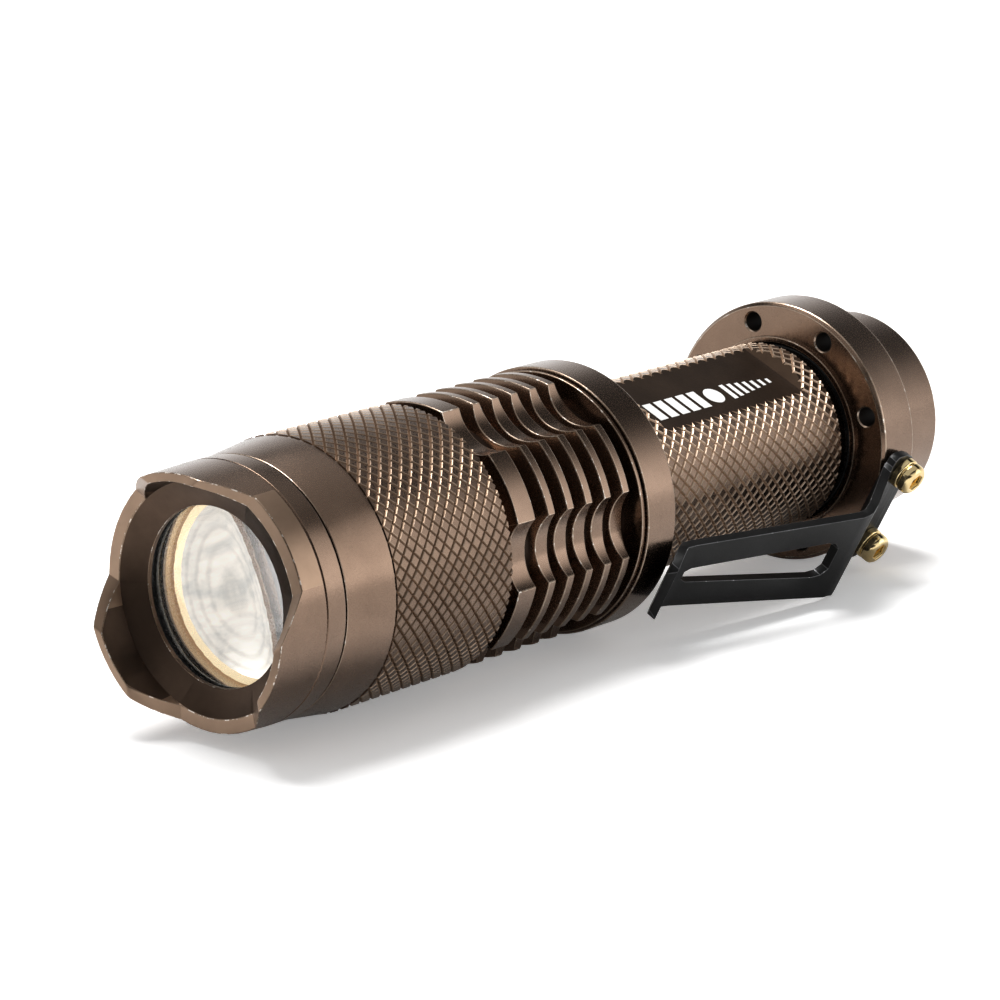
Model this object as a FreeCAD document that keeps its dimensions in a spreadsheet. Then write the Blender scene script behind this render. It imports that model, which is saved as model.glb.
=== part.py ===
import FreeCAD, Part
import os
import Sketcher
from FreeCAD import Vector, Rotation, Placement

# Zoom pocket flashlight, modelled lying along Y.
# The lens looks toward -Y, the tail is at +Y, and +Z is up.
# The origin is on the axis, in the plane of the tail rim.
# A "station" is a distance in front of the tail rim, so a station s lies at y = -s.
# Roll angles are counted about the axis from +X toward +Z.

doc = FreeCAD.newDocument("zoom_flashlight")
sheet = doc.addObject("Spreadsheet::Sheet", "Dims")
cells = 0


def size(alias, value):
    """Write one named size, in millimetres or degrees, into the sheet."""
    global cells
    cells += 1
    sheet.set("A%d" % cells, alias)
    sheet.set("B%d" % cells, str(value))
    sheet.setAlias("B%d" % cells, alias)


# Crown ring at the front
size("crest_front", 102.0)
size("notch_floor", 99.1)
size("seam", 94.0)
size("bezel_r", 12.35)
size("crest_r", 12.15)
size("crest_bore_r", 11.3)
size("dish_r", 10.93)
size("lip_r", 8.4)
size("lip_front", 97.9)
size("lip_rear", 97.47)
size("o_ring_room_r", 9.95)
size("lens_room_front", 95.25)
size("lens_room_r", 10.4)
size("spigot_r", 11.33)
size("spigot_rear", 90.65)
size("scribe_front", 96.5)
size("scribe_rear", 96.2)
size("scribe_r", 12.15)
size("notch_half_floor", 4.65)
size("notch_half_mouth", 8.2)
size("notch_roll", 36.5)
size("crown_lobes", 3)

# Lens and the rings that hold it
size("lens_r", 10.3)
size("lens_back", 93.1)
size("lens_rim", 95.1)
size("dome_r", 9.9)
size("dome_radius", 13.8)
size("dome_centre", 85.49)
size("o_ring_station", 96.75)
size("o_ring_major", 9.2)
size("o_ring_minor", 0.7)
size("spacer_bore_r", 9.3)
size("spacer_r", 10.33)
size("spacer_front", 93.05)
size("spacer_rear", 90.45)

# Head sleeve, outside
size("sleeve_front", 93.88)
size("sleeve_front_r", 12.3)
size("collar_rear", 88.0)
size("collar_r", 12.95)
size("head_grip_r", 12.85)
size("head_grip_rear", 72.1)
size("neck_groove_r", 11.6)
size("band_front", 70.9)
size("band_rear", 68.4)
size("band_r", 13.1)
size("fin_front", 66.5)
size("fin_pitch", 2.75)
size("fin_width", 0.95)
size("fin_root_r", 10.8)
size("fin_draft", 0.5)
size("flange_front", 53.0)
size("flange_lip_r", 13.0)
size("flange_lip_rear", 52.6)
size("flange_line_r", 12.75)
size("flange_body_front", 52.4)
size("flange_r", 13.3)
size("flange_rear", 48.15)
size("flute_tool_r", 4.5)
size("flute_tool_at", 15.8)
size("flute_roll", 1.0)
size("flute_count", 6)
# Head sleeve, inside
size("sleeve_thread_r", 11.4)
size("sleeve_step", 90.4)
size("sleeve_bore_r", 10.0)
size("sleeve_stop", 56.0)
size("sleeve_rear_bore_r", 9.45)
size("wiper_groove_front", 51.6)
size("wiper_groove_rear", 50.3)
size("wiper_groove_r", 10.55)
size("wiper_major", 9.97)
size("wiper_minor", 0.55)
size("wiper_station", 50.95)

# Tube, outside
size("tube_front", 89.7)
size("piston_r", 9.92)
size("piston_rear", 64.1)
size("neck_ring_front", 66.6)
size("neck_ring_rear", 65.2)
size("neck_ring_root_r", 8.6)
size("neck_ring_station", 65.9)
size("neck_ring_major", 9.3)
size("neck_ring_minor", 0.66)
size("neck_r", 9.38)
size("grip_front", 47.4)
size("grip_rear", 16.1)
size("grip_r", 9.6)
size("grip_chamfer", 0.25)
size("tail_neck_r", 9.0)
size("tail_ring_front", 14.2)
size("tail_ring_rear", 13.0)
size("tail_ring_root_r", 8.4)
size("tail_ring_station", 13.6)
size("tail_ring_major", 9.0)
size("tail_ring_minor", 0.56)
size("tube_thread_r", 9.15)
size("tube_rear", 9.2)
# Tube, inside
size("pill_room_r", 8.6)
size("pill_room_rear", 74.0)
size("cell_room_r", 7.6)
# Flat panel on the grip
size("panel_roll", 65.4)
size("panel_depth_at", 8.78)
size("panel_front", 42.0)
size("panel_rear", 19.6)
size("panel_ramp", 1.6)
size("panel_clear_r", 10.38)

# Light engine
size("pill_r", 8.55)
size("pill_front", 89.0)
size("pill_seat", 87.5)
size("pill_disc_rear", 84.5)
size("pill_skirt_r", 7.4)
size("pill_rear", 74.05)
size("pill_rim_r", 8.12)
size("wire_at", 4.6)
size("wire_hole_r", 0.8)
size("wire_r", 0.45)
size("wire_front", 87.4)
size("wire_rear", 76.45)
size("star_r", 8.05)
size("star_front", 89.0)
size("star_rear", 87.52)
size("collar_hole_r", 3.7)
size("collar_out_r", 7.9)
size("collar_front", 89.6)
size("collar_back", 89.02)
size("chip_side", 5.0)
size("chip_front", 89.62)
size("chip_back", 89.02)
size("phosphor_side", 2.0)
size("phosphor_front", 89.76)
size("phosphor_back", 89.64)
size("emitter_dome_r", 2.4)
size("emitter_dome_base", 89.64)
size("driver_r", 7.35)
size("driver_front", 76.4)
size("driver_rear", 74.9)
size("coil_r", 2.2)
size("coil_hole_r", 0.9)
size("coil_front", 79.2)
size("coil_rear", 76.43)
size("contact_r", 2.5)
size("contact_front", 74.88)
size("contact_rear", 72.6)

# Cell
size("cap_r", 2.75)
size("cap_front", 72.55)
size("can_front", 71.15)
size("can_rear", 22.05)
size("can_r", 6.95)
size("wrap_r", 7.1)
size("wrap_bore_r", 6.97)
size("wrap_front", 70.9)
size("wrap_rear", 22.3)

# Tail cap
size("cap_lip_front", 14.5)
size("cap_lip_bore_r", 9.62)
size("cap_lip_r", 10.2)
size("cap_face", 14.1)
size("cap_face_r", 13.35)
size("cap_edge_station", 13.7)
size("cap_flange_r", 13.7)
size("cap_flange_rear", 8.8)
size("cap_barrel_r", 10.65)
size("cap_rim_r", 10.3)
size("cap_rim_chamfer", 0.35)
size("cap_lip_depth", 12.9)
size("cap_thread_r", 9.23)
size("cap_thread_rear", 7.4)
size("cap_room_r", 8.0)
size("cap_room_rear", 1.75)
size("cap_mouth_r", 6.3)
size("cap_mouth_edge_r", 6.8)
size("cap_mouth_chamfer", 0.5)
size("lanyard_hole_r", 1.0)
size("lanyard_hole_at", 11.8)
size("lanyard_hole_roll", 16.3)
size("lanyard_hole_count", 7)
size("lanyard_hole_span", 270)

# Switch
size("retainer_front", 8.95)
size("retainer_rear", 7.42)
size("retainer_r", 9.15)
size("retainer_bore_r", 6.8)
size("board_front", 7.38)
size("board_rear", 6.4)
size("board_r", 7.9)
size("housing_front", 6.38)
size("housing_rear", 2.9)
size("housing_bore_r", 4.3)
size("plunger_front", 4.7)
size("plunger_rear", 1.56)
size("plunger_r", 4.2)
size("plunger_room_r", 2.7)
size("plunger_room_rear", 2.4)
size("click_spring_r", 1.9)
size("click_wire_r", 0.2)
size("click_spring_front", 6.12)
size("click_spring_rear", 2.68)
size("click_pitch", 0.98)
size("boot_flange_r", 7.85)
size("boot_flange_front", 2.85)
size("boot_flange_rear", 1.8)
size("boot_skirt_r", 6.0)
size("boot_shoulder", 0.95)
size("boot_top_r", 5.3)
size("boot_top", 0.5)
size("boot_room_r", 4.4)
size("boot_room_rear", 1.5)
size("tail_spring_r", 5.2)
size("tail_wire_r", 0.4)
size("tail_spring_front", 21.6)
size("tail_spring_rear", 7.86)
size("tail_spring_pitch", 2.29)

# Pocket clip; "out" is a distance from the axis along the clip's own direction
size("clip_roll", -28.0)
size("clip_flat_out", 12.75)
size("clip_gauge", 0.9)
size("clip_plate_out", 12.77)
size("clip_rear", 10.2)
size("clip_bend", 14.2)
size("clip_hump", 23.2)
size("clip_hump_out", 17.6)
size("clip_toe", 47.2)
size("clip_toe_out", 13.0)
size("clip_tip", 50.9)
size("clip_tip_out", 15.3)
size("clip_half_ear", 6.7)
size("clip_half_hump", 5.5)
size("clip_half_toe", 3.75)
size("clip_ear_front", 14.3)
size("clip_slot_rear", 25.9)
size("clip_slot_front", 46.0)
size("clip_slot_half_rear", 2.2)
size("clip_slot_half_front", 0.85)
size("screw_at", 4.6)
size("screw_station", 11.7)
size("screw_head_r", 1.7)
size("screw_head_h", 2.1)
size("screw_shank_r", 0.88)
size("screw_hole_r", 0.9)
size("screw_depth", 3.4)
size("screw_socket_r", 0.87)
size("screw_socket_depth", 1.1)

doc.recompute()


def dim(alias):
    """Current value of a named size."""
    return float(sheet.get(alias))


def value_of(text):
    """Work a formula in named sizes out as a number, for sketch starting points."""
    total = 0.0
    sign = 1.0
    for word in text.split():
        if word == "+":
            sign = 1.0
        elif word == "-":
            sign = -1.0
        else:
            number = 1.0
            for factor in word.split("*"):
                number *= dim(factor) if factor[0].isalpha() else float(factor)
            total += sign * number
            sign = 1.0
    return total


def spelled(text):
    """Sheet expression for a formula whose factors are joined by * without spaces."""
    words = []
    for word in text.split():
        if word in "+-":
            words.append(word)
            continue
        factors = ["Dims." + f if f[0].isalpha() else f for f in word.split("*")]
        words.append("*".join(factors))
    return " ".join(words)


def origin_plane(body, role):
    """One of the body's own origin planes or axes."""
    for feature in body.Origin.OriginFeatures:
        if feature.Role == role:
            return feature
    raise ValueError(role)


def new_body(name):
    body = doc.addObject("PartDesign::Body", name + "_body")
    body.Label = name
    return body


def new_sketch(body, name, role, turn=None, lift=None):
    """Sketch on an origin plane, optionally turned about Y and lifted along its normal."""
    sketch = body.newObject("Sketcher::SketchObject", name)
    sketch.AttachmentSupport = (origin_plane(body, role), [""])
    sketch.MapMode = "FlatFace"
    if turn is not None:
        sketch.AttachmentOffset = Placement(Vector(0, 0, 0), Rotation(Vector(0, 1, 0), 1))
        sketch.setExpression("AttachmentOffset.Rotation.Angle", turn)
    if lift is not None:
        sketch.setExpression("AttachmentOffset.Base.z", spelled(lift))
    return sketch


def outline(sketch, corners):
    """Closed polygon; each corner is (across, station) as formulas in named sizes.

    A leading "~" on the across formula mirrors it to the negative side.
    """
    points = []
    for across, station in corners:
        side = -1.0 if across.startswith("~") else 1.0
        points.append(Vector(side * value_of(across.lstrip("~")), -value_of(station), 0))
    first = sketch.GeometryCount
    count = len(points)
    for i in range(count):
        sketch.addGeometry(Part.LineSegment(points[i], points[(i + 1) % count]), False)
    for i in range(count):
        here = first + i
        after = first + (i + 1) % count
        sketch.addConstraint(Sketcher.Constraint("Coincident", here, 2, after, 1))
    for i, (across, station) in enumerate(corners):
        here = first + i
        reach = abs(points[i].x)
        if reach < 1e-9:
            sketch.addConstraint(Sketcher.Constraint("PointOnObject", here, 1, -2))
        else:
            if across.startswith("~"):
                rule = Sketcher.Constraint("DistanceX", here, 1, -1, 1, reach)
            else:
                rule = Sketcher.Constraint("DistanceX", -1, 1, here, 1, reach)
            index = sketch.addConstraint(rule)
            sketch.setExpression("Constraints[%d]" % index, spelled(across.lstrip("~")))
        if abs(points[i].y) < 1e-9:
            sketch.addConstraint(Sketcher.Constraint("PointOnObject", here, 1, -1))
        else:
            rule = Sketcher.Constraint("DistanceY", here, 1, -1, 1, -points[i].y)
            index = sketch.addConstraint(rule)
            sketch.setExpression("Constraints[%d]" % index, spelled(station))


def turned(name, corners):
    """Body of revolution about the flashlight's axis from (radius, station) corners."""
    body = new_body(name)
    sketch = new_sketch(body, name + "_profile", "XY_Plane")
    outline(sketch, corners)
    solid = body.newObject("PartDesign::Revolution", name + "_turned")
    solid.Profile = sketch
    solid.ReferenceAxis = (sketch, ["V_Axis"])
    solid.Angle = 360.0
    sketch.Visibility = False
    doc.recompute()
    return body


def cut_check(body, before, what):
    """Stop the build if a cut removed nothing."""
    doc.recompute()
    after = body.Shape.Volume
    if not after < before - 1e-4:
        raise ValueError("%s removed nothing (%.3f to %.3f)" % (what, before, after))


def pocket(body, sketch, length, name, midplane=False, reverse=False):
    before = body.Shape.Volume
    cut = body.newObject("PartDesign::Pocket", name)
    cut.Profile = sketch
    cut.Length = 5.0
    cut.setExpression("Length", spelled(length))
    cut.Midplane = midplane
    cut.Reversed = reverse
    sketch.Visibility = False
    cut_check(body, before, name)
    return cut


def polar(body, feature, count, name, span=None):
    """Repeat a feature about the flashlight's axis."""
    before = body.Shape.Volume
    pattern = body.newObject("PartDesign::PolarPattern", name)
    pattern.Originals = [feature]
    pattern.Axis = (origin_plane(body, "Y_Axis"), [""])
    pattern.Angle = 360.0
    if span is not None:
        pattern.setExpression("Angle", spelled(span))
    body.Tip = pattern
    pattern.Occurrences = int(dim(count))
    pattern.setExpression("Occurrences", spelled(count))
    cut_check(body, before, name)
    return pattern


def circle_sketch(body, name, radius, across, up, lift):
    """Circle on a plane square to the axis, at a roll angle given by two formulas."""
    sketch = new_sketch(body, name, "XZ_Plane", lift=lift)
    centre = Vector(float(across[0]), float(up[0]), 0)
    sketch.addGeometry(Part.Circle(centre, Vector(0, 0, 1), value_of(radius)), False)
    index = sketch.addConstraint(Sketcher.Constraint("Radius", 0, value_of(radius)))
    sketch.setExpression("Constraints[%d]" % index, spelled(radius))
    for kind, (start, formula) in (("DistanceX", across), ("DistanceY", up)):
        if abs(start) < 1e-9:
            sketch.addConstraint(Sketcher.Constraint("PointOnObject", 0, 3, -1))
            continue
        index = sketch.addConstraint(Sketcher.Constraint(kind, -1, 1, 0, 3, start))
        sketch.setExpression("Constraints[%d]" % index, formula)
    return sketch


def cosine(degrees):
    return Rotation(Vector(0, 0, 1), degrees).multVec(Vector(1, 0, 0)).x


def sine(degrees):
    return Rotation(Vector(0, 0, 1), degrees).multVec(Vector(1, 0, 0)).y


def ring(name, major, minor, station):
    """Round-section ring about the axis."""
    part = doc.addObject("Part::Torus", name + "_ring")
    part.Label = name
    part.setExpression("Radius1", spelled(major))
    part.setExpression("Radius2", spelled(minor))
    part.Placement = Placement(Vector(0, -1, 0), Rotation(Vector(1, 0, 0), 90))
    part.setExpression("Placement.Base.y", "-1 * (%s)" % spelled(station))
    return part


def rod(name, radius, front, rear):
    """Plain cylinder along Y between two stations."""
    part = doc.addObject("Part::Cylinder", name)
    part.setExpression("Radius", spelled(radius))
    part.setExpression("Height", "(%s) - (%s)" % (spelled(front), spelled(rear)))
    part.Placement = Placement(Vector(0, -1, 0), Rotation(Vector(1, 0, 0), -90))
    part.setExpression("Placement.Base.y", "-1 * (%s)" % spelled(front))
    return part


def square(name, side, front, rear):
    """Square block centred on the axis between two stations."""
    part = doc.addObject("Part::Box", name)
    part.setExpression("Length", spelled(side))
    part.setExpression("Height", spelled(side))
    part.setExpression("Width", "(%s) - (%s)" % (spelled(front), spelled(rear)))
    part.setExpression("Placement.Base.x", "-0.5 * (%s)" % spelled(side))
    part.setExpression("Placement.Base.z", "-0.5 * (%s)" % spelled(side))
    part.setExpression("Placement.Base.y", "-1 * (%s)" % spelled(front))
    return part


def cut(name, base, tool, label=None):
    part = doc.addObject("Part::Cut", name)
    part.Base = base
    part.Tool = tool
    if label:
        part.Label = label
    return part


def coil(name, radius, wire, pitch, front, rear):
    """Round-wire spring along the axis."""
    helix = doc.addObject("Part::Helix", name + "_path")
    helix.setExpression("Pitch", spelled(pitch))
    helix.setExpression("Height", "(%s) - (%s)" % (spelled(front), spelled(rear)))
    helix.setExpression("Radius", spelled(radius))
    helix.SegmentLength = 0.5
    section = doc.addObject("Part::Circle", name + "_section")
    section.setExpression("Radius", spelled(wire))
    section.Placement = Placement(Vector(1, 0, 0), Rotation(Vector(1, 0, 0), 90))
    section.setExpression("Placement.Base.x", spelled(radius))
    doc.recompute()
    sweep = doc.addObject("Part::Sweep", name + "_coil")
    sweep.Label = name
    sweep.Sections = [section]
    sweep.Spine = (helix, ["Edge%d" % (i + 1) for i in range(len(helix.Shape.Edges))])
    sweep.Solid = True
    sweep.Frenet = True
    sweep.Placement = Placement(Vector(0, -1, 0), Rotation(Vector(1, 0, 0), 90))
    sweep.setExpression("Placement.Base.y", "-1 * (%s)" % spelled(rear))
    return sweep


# --- Crown ring ----------------------------------------------------------------------
bezel = turned("bezel_ring", [
    ("spigot_r", "spigot_rear"),
    ("spigot_r", "seam"),
    ("bezel_r", "seam"),
    ("bezel_r", "scribe_rear"),
    ("scribe_r", "scribe_rear + 0.15"),
    ("bezel_r", "scribe_front"),
    ("bezel_r", "notch_floor - 1.2"),
    ("crest_r", "crest_front"),
    ("crest_bore_r", "crest_front"),
    ("dish_r", "notch_floor"),
    ("lip_r", "lip_front"),
    ("lip_r", "lip_rear"),
    ("o_ring_room_r", "lip_rear"),
    ("o_ring_room_r", "lens_room_front"),
    ("lens_room_r", "lens_room_front"),
    ("lens_room_r", "spigot_rear"),
])
# Each notch is milled straight across the crown, with a ramp at both ends.
notch = new_sketch(bezel, "notch_profile", "XY_Plane", turn="90 - Dims.notch_roll")
outline(notch, [
    ("notch_half_floor", "notch_floor"),
    ("notch_half_mouth + 1.224", "crest_front + 1"),
    ("~notch_half_mouth + 1.224", "crest_front + 1"),
    ("~notch_half_floor", "notch_floor"),
])
notch_cut = pocket(bezel, notch, "bezel_r + 3", "notch_cut", reverse=True)
polar(bezel, notch_cut, "crown_lobes", "notch_pattern")

# --- Lens ----------------------------------------------------------------------------
dome_ball = doc.addObject("Part::Sphere", "lens_dome_ball")
dome_ball.setExpression("Radius", spelled("dome_radius"))
dome_ball.Placement = Placement(Vector(0, -1, 0), Rotation(Vector(1, 0, 0), 90))
dome_ball.setExpression("Placement.Base.y", "-1 * " + spelled("dome_centre"))
dome_rod = rod("lens_dome_rod", "dome_r", "crest_front", "lens_rim - 0.5")
dome = doc.addObject("Part::Common", "lens_dome")
dome.Base = dome_ball
dome.Tool = dome_rod
lens = doc.addObject("Part::Fuse", "lens_fuse")
lens.Label = "lens"
lens.Base = dome
lens.Tool = rod("lens_rim_rod", "lens_r", "lens_rim", "lens_back")
ring("lens_o_ring", "o_ring_major", "o_ring_minor", "o_ring_station")
turned("lens_spacer", [
    ("spacer_bore_r", "spacer_front"),
    ("spacer_r", "spacer_front"),
    ("spacer_r", "spacer_rear"),
    ("spacer_bore_r", "spacer_rear"),
])

# --- Head sleeve ---------------------------------------------------------------------
FINS = 5
sleeve_corners = [
    ("sleeve_thread_r", "sleeve_front"),
    ("sleeve_front_r", "sleeve_front"),
    ("collar_r", "collar_rear + 0.6"),
    ("collar_r", "collar_rear"),
    ("head_grip_r", "collar_rear"),
    ("head_grip_r", "head_grip_rear"),
    ("neck_groove_r", "head_grip_rear"),
    ("neck_groove_r", "band_front"),
    ("band_r", "band_front"),
    ("band_r", "band_rear"),
    ("fin_root_r", "band_rear - fin_draft"),
]
for fin in range(FINS):
    front = "fin_front - %d*fin_pitch" % fin
    rear = front + " - fin_width"
    sleeve_corners += [
        ("fin_root_r", front + " + fin_draft"),
        ("band_r", front),
        ("band_r", rear),
        ("fin_root_r", rear + " - fin_draft"),
    ]
sleeve_corners += [
    ("fin_root_r", "flange_front"),
    ("flange_lip_r", "flange_front"),
    ("flange_lip_r", "flange_lip_rear"),
    ("flange_line_r", "flange_lip_rear"),
    ("flange_line_r", "flange_body_front"),
    ("flange_r", "flange_body_front"),
    ("flange_r", "flange_rear"),
    ("sleeve_rear_bore_r", "flange_rear"),
    ("sleeve_rear_bore_r", "wiper_groove_rear"),
    ("wiper_groove_r", "wiper_groove_rear"),
    ("wiper_groove_r", "wiper_groove_front"),
    ("sleeve_rear_bore_r", "wiper_groove_front"),
    ("sleeve_rear_bore_r", "sleeve_stop"),
    ("sleeve_bore_r", "sleeve_stop"),
    ("sleeve_bore_r", "sleeve_step"),
    ("sleeve_thread_r", "sleeve_step"),
]
sleeve = turned("head_sleeve", sleeve_corners)
# Six flutes are milled along the band and the fins, and stop at the flange.
flute = circle_sketch(
    sleeve, "flute_circle", "flute_tool_r",
    (dim("flute_tool_at") * cosine(dim("flute_roll")), "Dims.flute_tool_at * cos(Dims.flute_roll)"),
    (dim("flute_tool_at") * sine(dim("flute_roll")), "Dims.flute_tool_at * sin(Dims.flute_roll)"),
    "flange_front")
flute_cut = pocket(sleeve, flute, "head_grip_rear - flange_front", "flute_cut", reverse=True)
polar(sleeve, flute_cut, "flute_count", "flute_pattern")
ring("head_wiper_ring", "wiper_major", "wiper_minor", "wiper_station")

# --- Tube ----------------------------------------------------------------------------
tube = turned("battery_tube", [
    ("pill_room_r", "tube_front"),
    ("piston_r", "tube_front"),
    ("piston_r", "neck_ring_front"),
    ("neck_ring_root_r", "neck_ring_front"),
    ("neck_ring_root_r", "neck_ring_rear"),
    ("piston_r", "neck_ring_rear"),
    ("piston_r", "piston_rear"),
    ("neck_r", "piston_rear"),
    ("neck_r", "grip_front"),
    ("grip_r", "grip_front - grip_chamfer"),
    ("grip_r", "grip_rear + grip_chamfer"),
    ("tail_neck_r", "grip_rear"),
    ("tail_neck_r", "tail_ring_front"),
    ("tail_ring_root_r", "tail_ring_front"),
    ("tail_ring_root_r", "tail_ring_rear"),
    ("tube_thread_r", "tail_ring_rear"),
    ("tube_thread_r", "tube_rear"),
    ("cell_room_r", "tube_rear"),
    ("cell_room_r", "pill_room_rear"),
    ("pill_room_r", "pill_room_rear"),
])
panel = new_sketch(tube, "panel_profile", "XY_Plane", turn="-1 * Dims.panel_roll")
outline(panel, [
    ("panel_depth_at", "panel_front"),
    ("panel_clear_r", "panel_front + panel_ramp"),
    ("panel_clear_r", "panel_rear - panel_ramp"),
    ("panel_depth_at", "panel_rear"),
])
pocket(tube, panel, "2*grip_r", "panel_cut", midplane=True)
ring("neck_o_ring", "neck_ring_major", "neck_ring_minor", "neck_ring_station")
ring("tail_o_ring", "tail_ring_major", "tail_ring_minor", "tail_ring_station")

# --- Light engine --------------------------------------------------------------------
pill_shell = turned("led_pill_shell", [
    ("0", "pill_seat"),
    ("pill_rim_r", "pill_seat"),
    ("pill_rim_r", "pill_front"),
    ("pill_r", "pill_front"),
    ("pill_r", "pill_rear"),
    ("pill_skirt_r", "pill_rear"),
    ("pill_skirt_r", "pill_disc_rear"),
    ("0", "pill_disc_rear"),
])
wire_holes = []
wires = []
for side in (1, -1):
    tag = "right" if side > 0 else "left"
    hole = rod("wire_hole_" + tag, "wire_hole_r", "pill_seat + 1", "pill_disc_rear - 1")
    wire = rod("wire_" + tag, "wire_r", "wire_front", "wire_rear")
    for item in (hole, wire):
        item.setExpression("Placement.Base.x", "%d * Dims.wire_at" % side)
    wire_holes.append(hole)
    wires.append(wire)
holes = doc.addObject("Part::MultiFuse", "wire_holes")
holes.Shapes = wire_holes
cut("led_pill_cut", pill_shell, holes, "led_pill")
led_wires = doc.addObject("Part::Compound", "led_wires_pair")
led_wires.Label = "led_wires"
led_wires.Links = wires

rod("led_board_disc", "star_r", "star_front", "star_rear").Label = "led_board"
turned("led_collar", [
    ("collar_hole_r", "collar_front"),
    ("collar_out_r", "collar_front"),
    ("collar_out_r", "collar_back"),
    ("collar_hole_r", "collar_back"),
])
square("led_package_block", "chip_side", "chip_front", "chip_back").Label = "led_package"
square("led_phosphor_block", "phosphor_side", "phosphor_front", "phosphor_back").Label = "led_phosphor"
dome_gel = doc.addObject("Part::Sphere", "emitter_ball")
dome_gel.setExpression("Radius", spelled("emitter_dome_r"))
dome_gel.Placement = Placement(Vector(0, -1, 0), Rotation(Vector(1, 0, 0), 90))
dome_gel.setExpression("Placement.Base.y", "-1 * " + spelled("emitter_dome_base"))
dome_half = doc.addObject("Part::Common", "emitter_half")
dome_half.Base = dome_gel
dome_half.Tool = rod("emitter_cutter", "chip_side", "emitter_dome_base + 4", "emitter_dome_base")
cut("emitter_dome_cut", dome_half,
    square("emitter_pocket", "phosphor_side + 0.05", "phosphor_front + 0.02", "phosphor_back - 1"),
    "led_dome")

rod("driver_disc", "driver_r", "driver_front", "driver_rear").Label = "driver_board"
coil_hole = rod("driver_coil_hole", "coil_hole_r", "coil_front + 1", "coil_rear - 1")
cut("driver_coil_cut", rod("driver_coil_body", "coil_r", "coil_front", "coil_rear"),
    coil_hole, "driver_coil")
rod("driver_contact_stud", "contact_r", "contact_front", "contact_rear").Label = "driver_contact"

# --- Cell ----------------------------------------------------------------------------
rod("battery_button_disc", "cap_r", "cap_front", "can_front").Label = "battery_button"
rod("battery_can_body", "can_r", "can_front - 0.02", "can_rear").Label = "battery_can"
turned("battery_wrap", [
    ("wrap_bore_r", "wrap_front"),
    ("wrap_r", "wrap_front"),
    ("wrap_r", "wrap_rear"),
    ("wrap_bore_r", "wrap_rear"),
])

# --- Tail cap ------------------------------------------------------------------------
tail = turned("tail_cap_turned", [
    ("cap_lip_bore_r", "cap_lip_front"),
    ("cap_lip_r", "cap_lip_front"),
    ("cap_lip_r", "cap_face"),
    ("cap_face_r", "cap_face"),
    ("cap_flange_r", "cap_edge_station"),
    ("cap_flange_r", "cap_flange_rear + 0.2"),
    ("cap_flange_r - 0.2", "cap_flange_rear"),
    ("cap_barrel_r", "cap_flange_rear"),
    ("cap_barrel_r", "cap_rim_chamfer"),
    ("cap_rim_r", "0"),
    ("cap_mouth_edge_r", "0"),
    ("cap_mouth_r", "cap_mouth_chamfer"),
    ("cap_mouth_r", "cap_room_rear"),
    ("cap_room_r", "cap_room_rear"),
    ("cap_room_r", "cap_thread_rear"),
    ("cap_thread_r", "cap_thread_rear"),
    ("cap_thread_r", "cap_lip_depth"),
    ("cap_lip_bore_r", "cap_lip_depth"),
])
seat = new_sketch(tail, "clip_seat", "XY_Plane", turn="-1 * Dims.clip_roll")
outline(seat, [
    ("clip_flat_out", "cap_lip_front + 1"),
    ("cap_flange_r + 2", "cap_lip_front + 1"),
    ("cap_flange_r + 2", "cap_flange_rear - 1"),
    ("clip_flat_out", "cap_flange_rear - 1"),
])
pocket(tail, seat, "2*cap_flange_r", "clip_seat_cut", midplane=True)
lanyard = circle_sketch(
    tail, "lanyard_circle", "lanyard_hole_r",
    (dim("lanyard_hole_at") * cosine(dim("lanyard_hole_roll")),
     "Dims.lanyard_hole_at * cos(Dims.lanyard_hole_roll)"),
    (dim("lanyard_hole_at") * sine(dim("lanyard_hole_roll")),
     "Dims.lanyard_hole_at * sin(Dims.lanyard_hole_roll)"),
    "cap_flange_rear - 1")
lanyard_cut = pocket(tail, lanyard, "cap_face - cap_flange_rear + 2", "lanyard_cut", reverse=True)
polar(tail, lanyard_cut, "lanyard_hole_count", "lanyard_pattern", "lanyard_hole_span")


def aim_out(part, out, side, station):
    """Stand a part on the clip's direction: its own Z points away from the axis."""
    turn = Rotation(Vector(0, 1, 0), 90.0 - dim("clip_roll"))
    part.Placement = Placement(Vector(1, 0, 0), turn)
    part.setExpression("Placement.Rotation.Angle", "90 - Dims.clip_roll")
    across = "%s * cos(Dims.clip_roll) - %d * Dims.screw_at * sin(Dims.clip_roll)" % (out, side)
    up = "%s * sin(Dims.clip_roll) + %d * Dims.screw_at * cos(Dims.clip_roll)" % (out, side)
    part.setExpression("Placement.Base.x", across)
    part.setExpression("Placement.Base.z", up)
    part.setExpression("Placement.Base.y", "-1 * (%s)" % spelled(station))


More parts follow.
